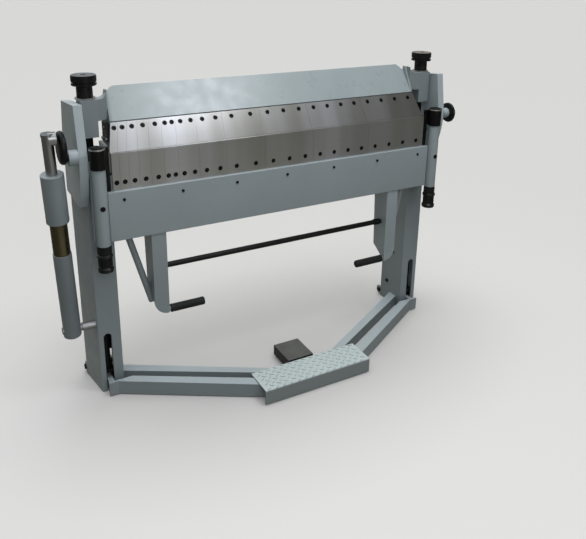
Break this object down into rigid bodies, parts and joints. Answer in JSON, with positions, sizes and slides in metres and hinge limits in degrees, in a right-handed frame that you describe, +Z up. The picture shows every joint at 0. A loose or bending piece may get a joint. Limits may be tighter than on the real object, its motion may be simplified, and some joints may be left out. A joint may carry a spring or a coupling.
{
  "type": "box and pan brake",
  "caption": "Foot-clamped sheet-metal folding machine with segmented fingers, a segmented bending leaf on handles, a counterbalance strut and a floor pedal between two columns.",
  "frame": {"origin": "on the floor, at the middle of the machine's overall length and depth", "axes": "+Z up, the front with the handles and pedal faces -Y, +X along the fold line from the narrow fingers to the wide ones"},
  "size_m": [1.641, 0.529, 1.152],
  "materials": {
    "tool_steel": "ground",
    "grey_paint": "satin",
    "grey_steel": "turned",
    "dark_screws": "oxide",
    "blackened_steel": "oxide",
    "black_plastic": "moulded",
    "bronze": "polished"
  },
  "bodies": {
    "base": {"left_column": "grey_paint", "right_column": "grey_paint", "left_head_plate": "grey_paint", "right_head_plate": "grey_paint", "bed_beam": "grey_paint", "bed_rail": "tool_steel", "base_frame": "grey_paint", "pivot_bushes": "grey_steel", "strut_pin": "grey_steel", "column_bolts": "dark_screws", "pedal_pins": "dark_screws"},
    "clamping": {"clamping_beam": "grey_paint", "clamp_blocks": "grey_paint", "pull_rods": "blackened_steel", "finger_screws": "dark_screws", "finger_25": "tool_steel", "finger_30": "tool_steel", "finger_35": "tool_steel", "finger_40": "tool_steel", "finger_45": "tool_steel", "finger_50": "tool_steel", "finger_75": "tool_steel", "finger_100": "tool_steel", "finger_150": "tool_steel", "finger_200": "tool_steel", "finger_250": "tool_steel", "finger_270": "tool_steel"},
    "left_clamp_knob": {"left_clamp_knob": "black_plastic"},
    "right_clamp_knob": {"right_clamp_knob": "black_plastic"},
    "bending": {"bending_beam": "grey_paint", "pivot_tubes": "grey_paint", "pivot_heads": "blackened_steel", "crank_disc": "blackened_steel", "beam_screws": "dark_screws", "left_handle": "grey_paint", "right_handle": "grey_paint", "grips": "black_plastic", "tie_rod": "blackened_steel", "leaf_25": "tool_steel", "leaf_30": "tool_steel", "leaf_35": "tool_steel", "leaf_40": "tool_steel", "leaf_45": "tool_steel", "leaf_50": "tool_steel", "leaf_75": "tool_steel", "leaf_100": "tool_steel", "leaf_150": "tool_steel", "leaf_200": "tool_steel", "leaf_250": "tool_steel", "leaf_270": "tool_steel"},
    "left_height_knob": {"left_height_knob": "black_plastic"},
    "right_height_knob": {"right_height_knob": "black_plastic"},
    "strut_lower": {"strut_cylinder": "grey_paint", "strut_guide_tube": "bronze"},
    "strut_upper": {"strut_sleeve": "grey_paint", "strut_rod": "grey_steel"},
    "pedal": {"pedal_frame": "grey_paint", "tread_plate": "grey_paint"},
    "release": {"release_pedal": "blackened_steel"},
    "stop_knob": {"stop_knob": "black_plastic"}
  },
  "joints": [
    {"name": "bend_hinge", "type": "hinge", "parent": "base", "child": "bending", "pos_m": [0.03052, 0.0305, 0.91], "axis": [-1, 0, 0], "range_deg": [0, 115]},
    {"name": "clamp_slide", "type": "slide", "parent": "base", "child": "clamping", "axis": [0, 0, 1], "range_m": [0, 0.047]},
    {"name": "pedal_hinge", "type": "hinge", "parent": "base", "child": "pedal", "pos_m": [0.03052, 0.2405, 0.025], "axis": [-1, 0, 0], "range_deg": [0, 23]},
    {"name": "release_hinge", "type": "hinge", "parent": "base", "child": "release", "pos_m": [0.03052, -0.1595, 0.025], "axis": [-1, 0, 0], "range_deg": [0, 3.4], "stiffness_Nm_per_rad": 8, "springref_deg": -28.65},
    {"name": "strut_hinge", "type": "hinge", "parent": "base", "child": "strut_lower", "pos_m": [-0.75948, 0.1105, 0.27], "axis": [-1, 0, 0], "range_deg": [0, 4.01]},
    {"name": "strut_slide", "type": "slide", "parent": "strut_lower", "child": "strut_upper", "axis": [0.0422, 0.1055, -0.9935], "range_m": [0, 0.1025]},
    {"name": "left_clamp_turn", "type": "hinge", "parent": "clamping", "child": "left_clamp_knob", "pos_m": [-0.64948, 0.1195, 1.1], "axis": [0, 0, 1], "continuous": true},
    {"name": "right_clamp_turn", "type": "hinge", "parent": "clamping", "child": "right_clamp_knob", "pos_m": [0.71052, 0.1195, 1.1], "axis": [0, 0, 1], "continuous": true},
    {"name": "left_height_turn", "type": "hinge", "parent": "bending", "child": "left_height_knob", "pos_m": [-0.65048, 0.0055, 0.57], "axis": [0, 0, 1], "continuous": true},
    {"name": "right_height_turn", "type": "hinge", "parent": "bending", "child": "right_height_knob", "pos_m": [0.71152, 0.0055, 0.57], "axis": [0, 0, 1], "continuous": true},
    {"name": "stop_turn", "type": "hinge", "parent": "base", "child": "stop_knob", "pos_m": [0.80052, 0.0305, 0.91], "axis": [1, 0, 0], "continuous": true}
  ],
  "couplings": [
    {"joint": "pedal_hinge", "follows": "clamp_slide", "rad_per_m": 8.4878},
    {"joint": "strut_hinge", "follows": "bend_hinge", "ratio": 0.034454},
    {"joint": "strut_slide", "follows": "bend_hinge", "m_per_rad": 0.050858}
  ]
}
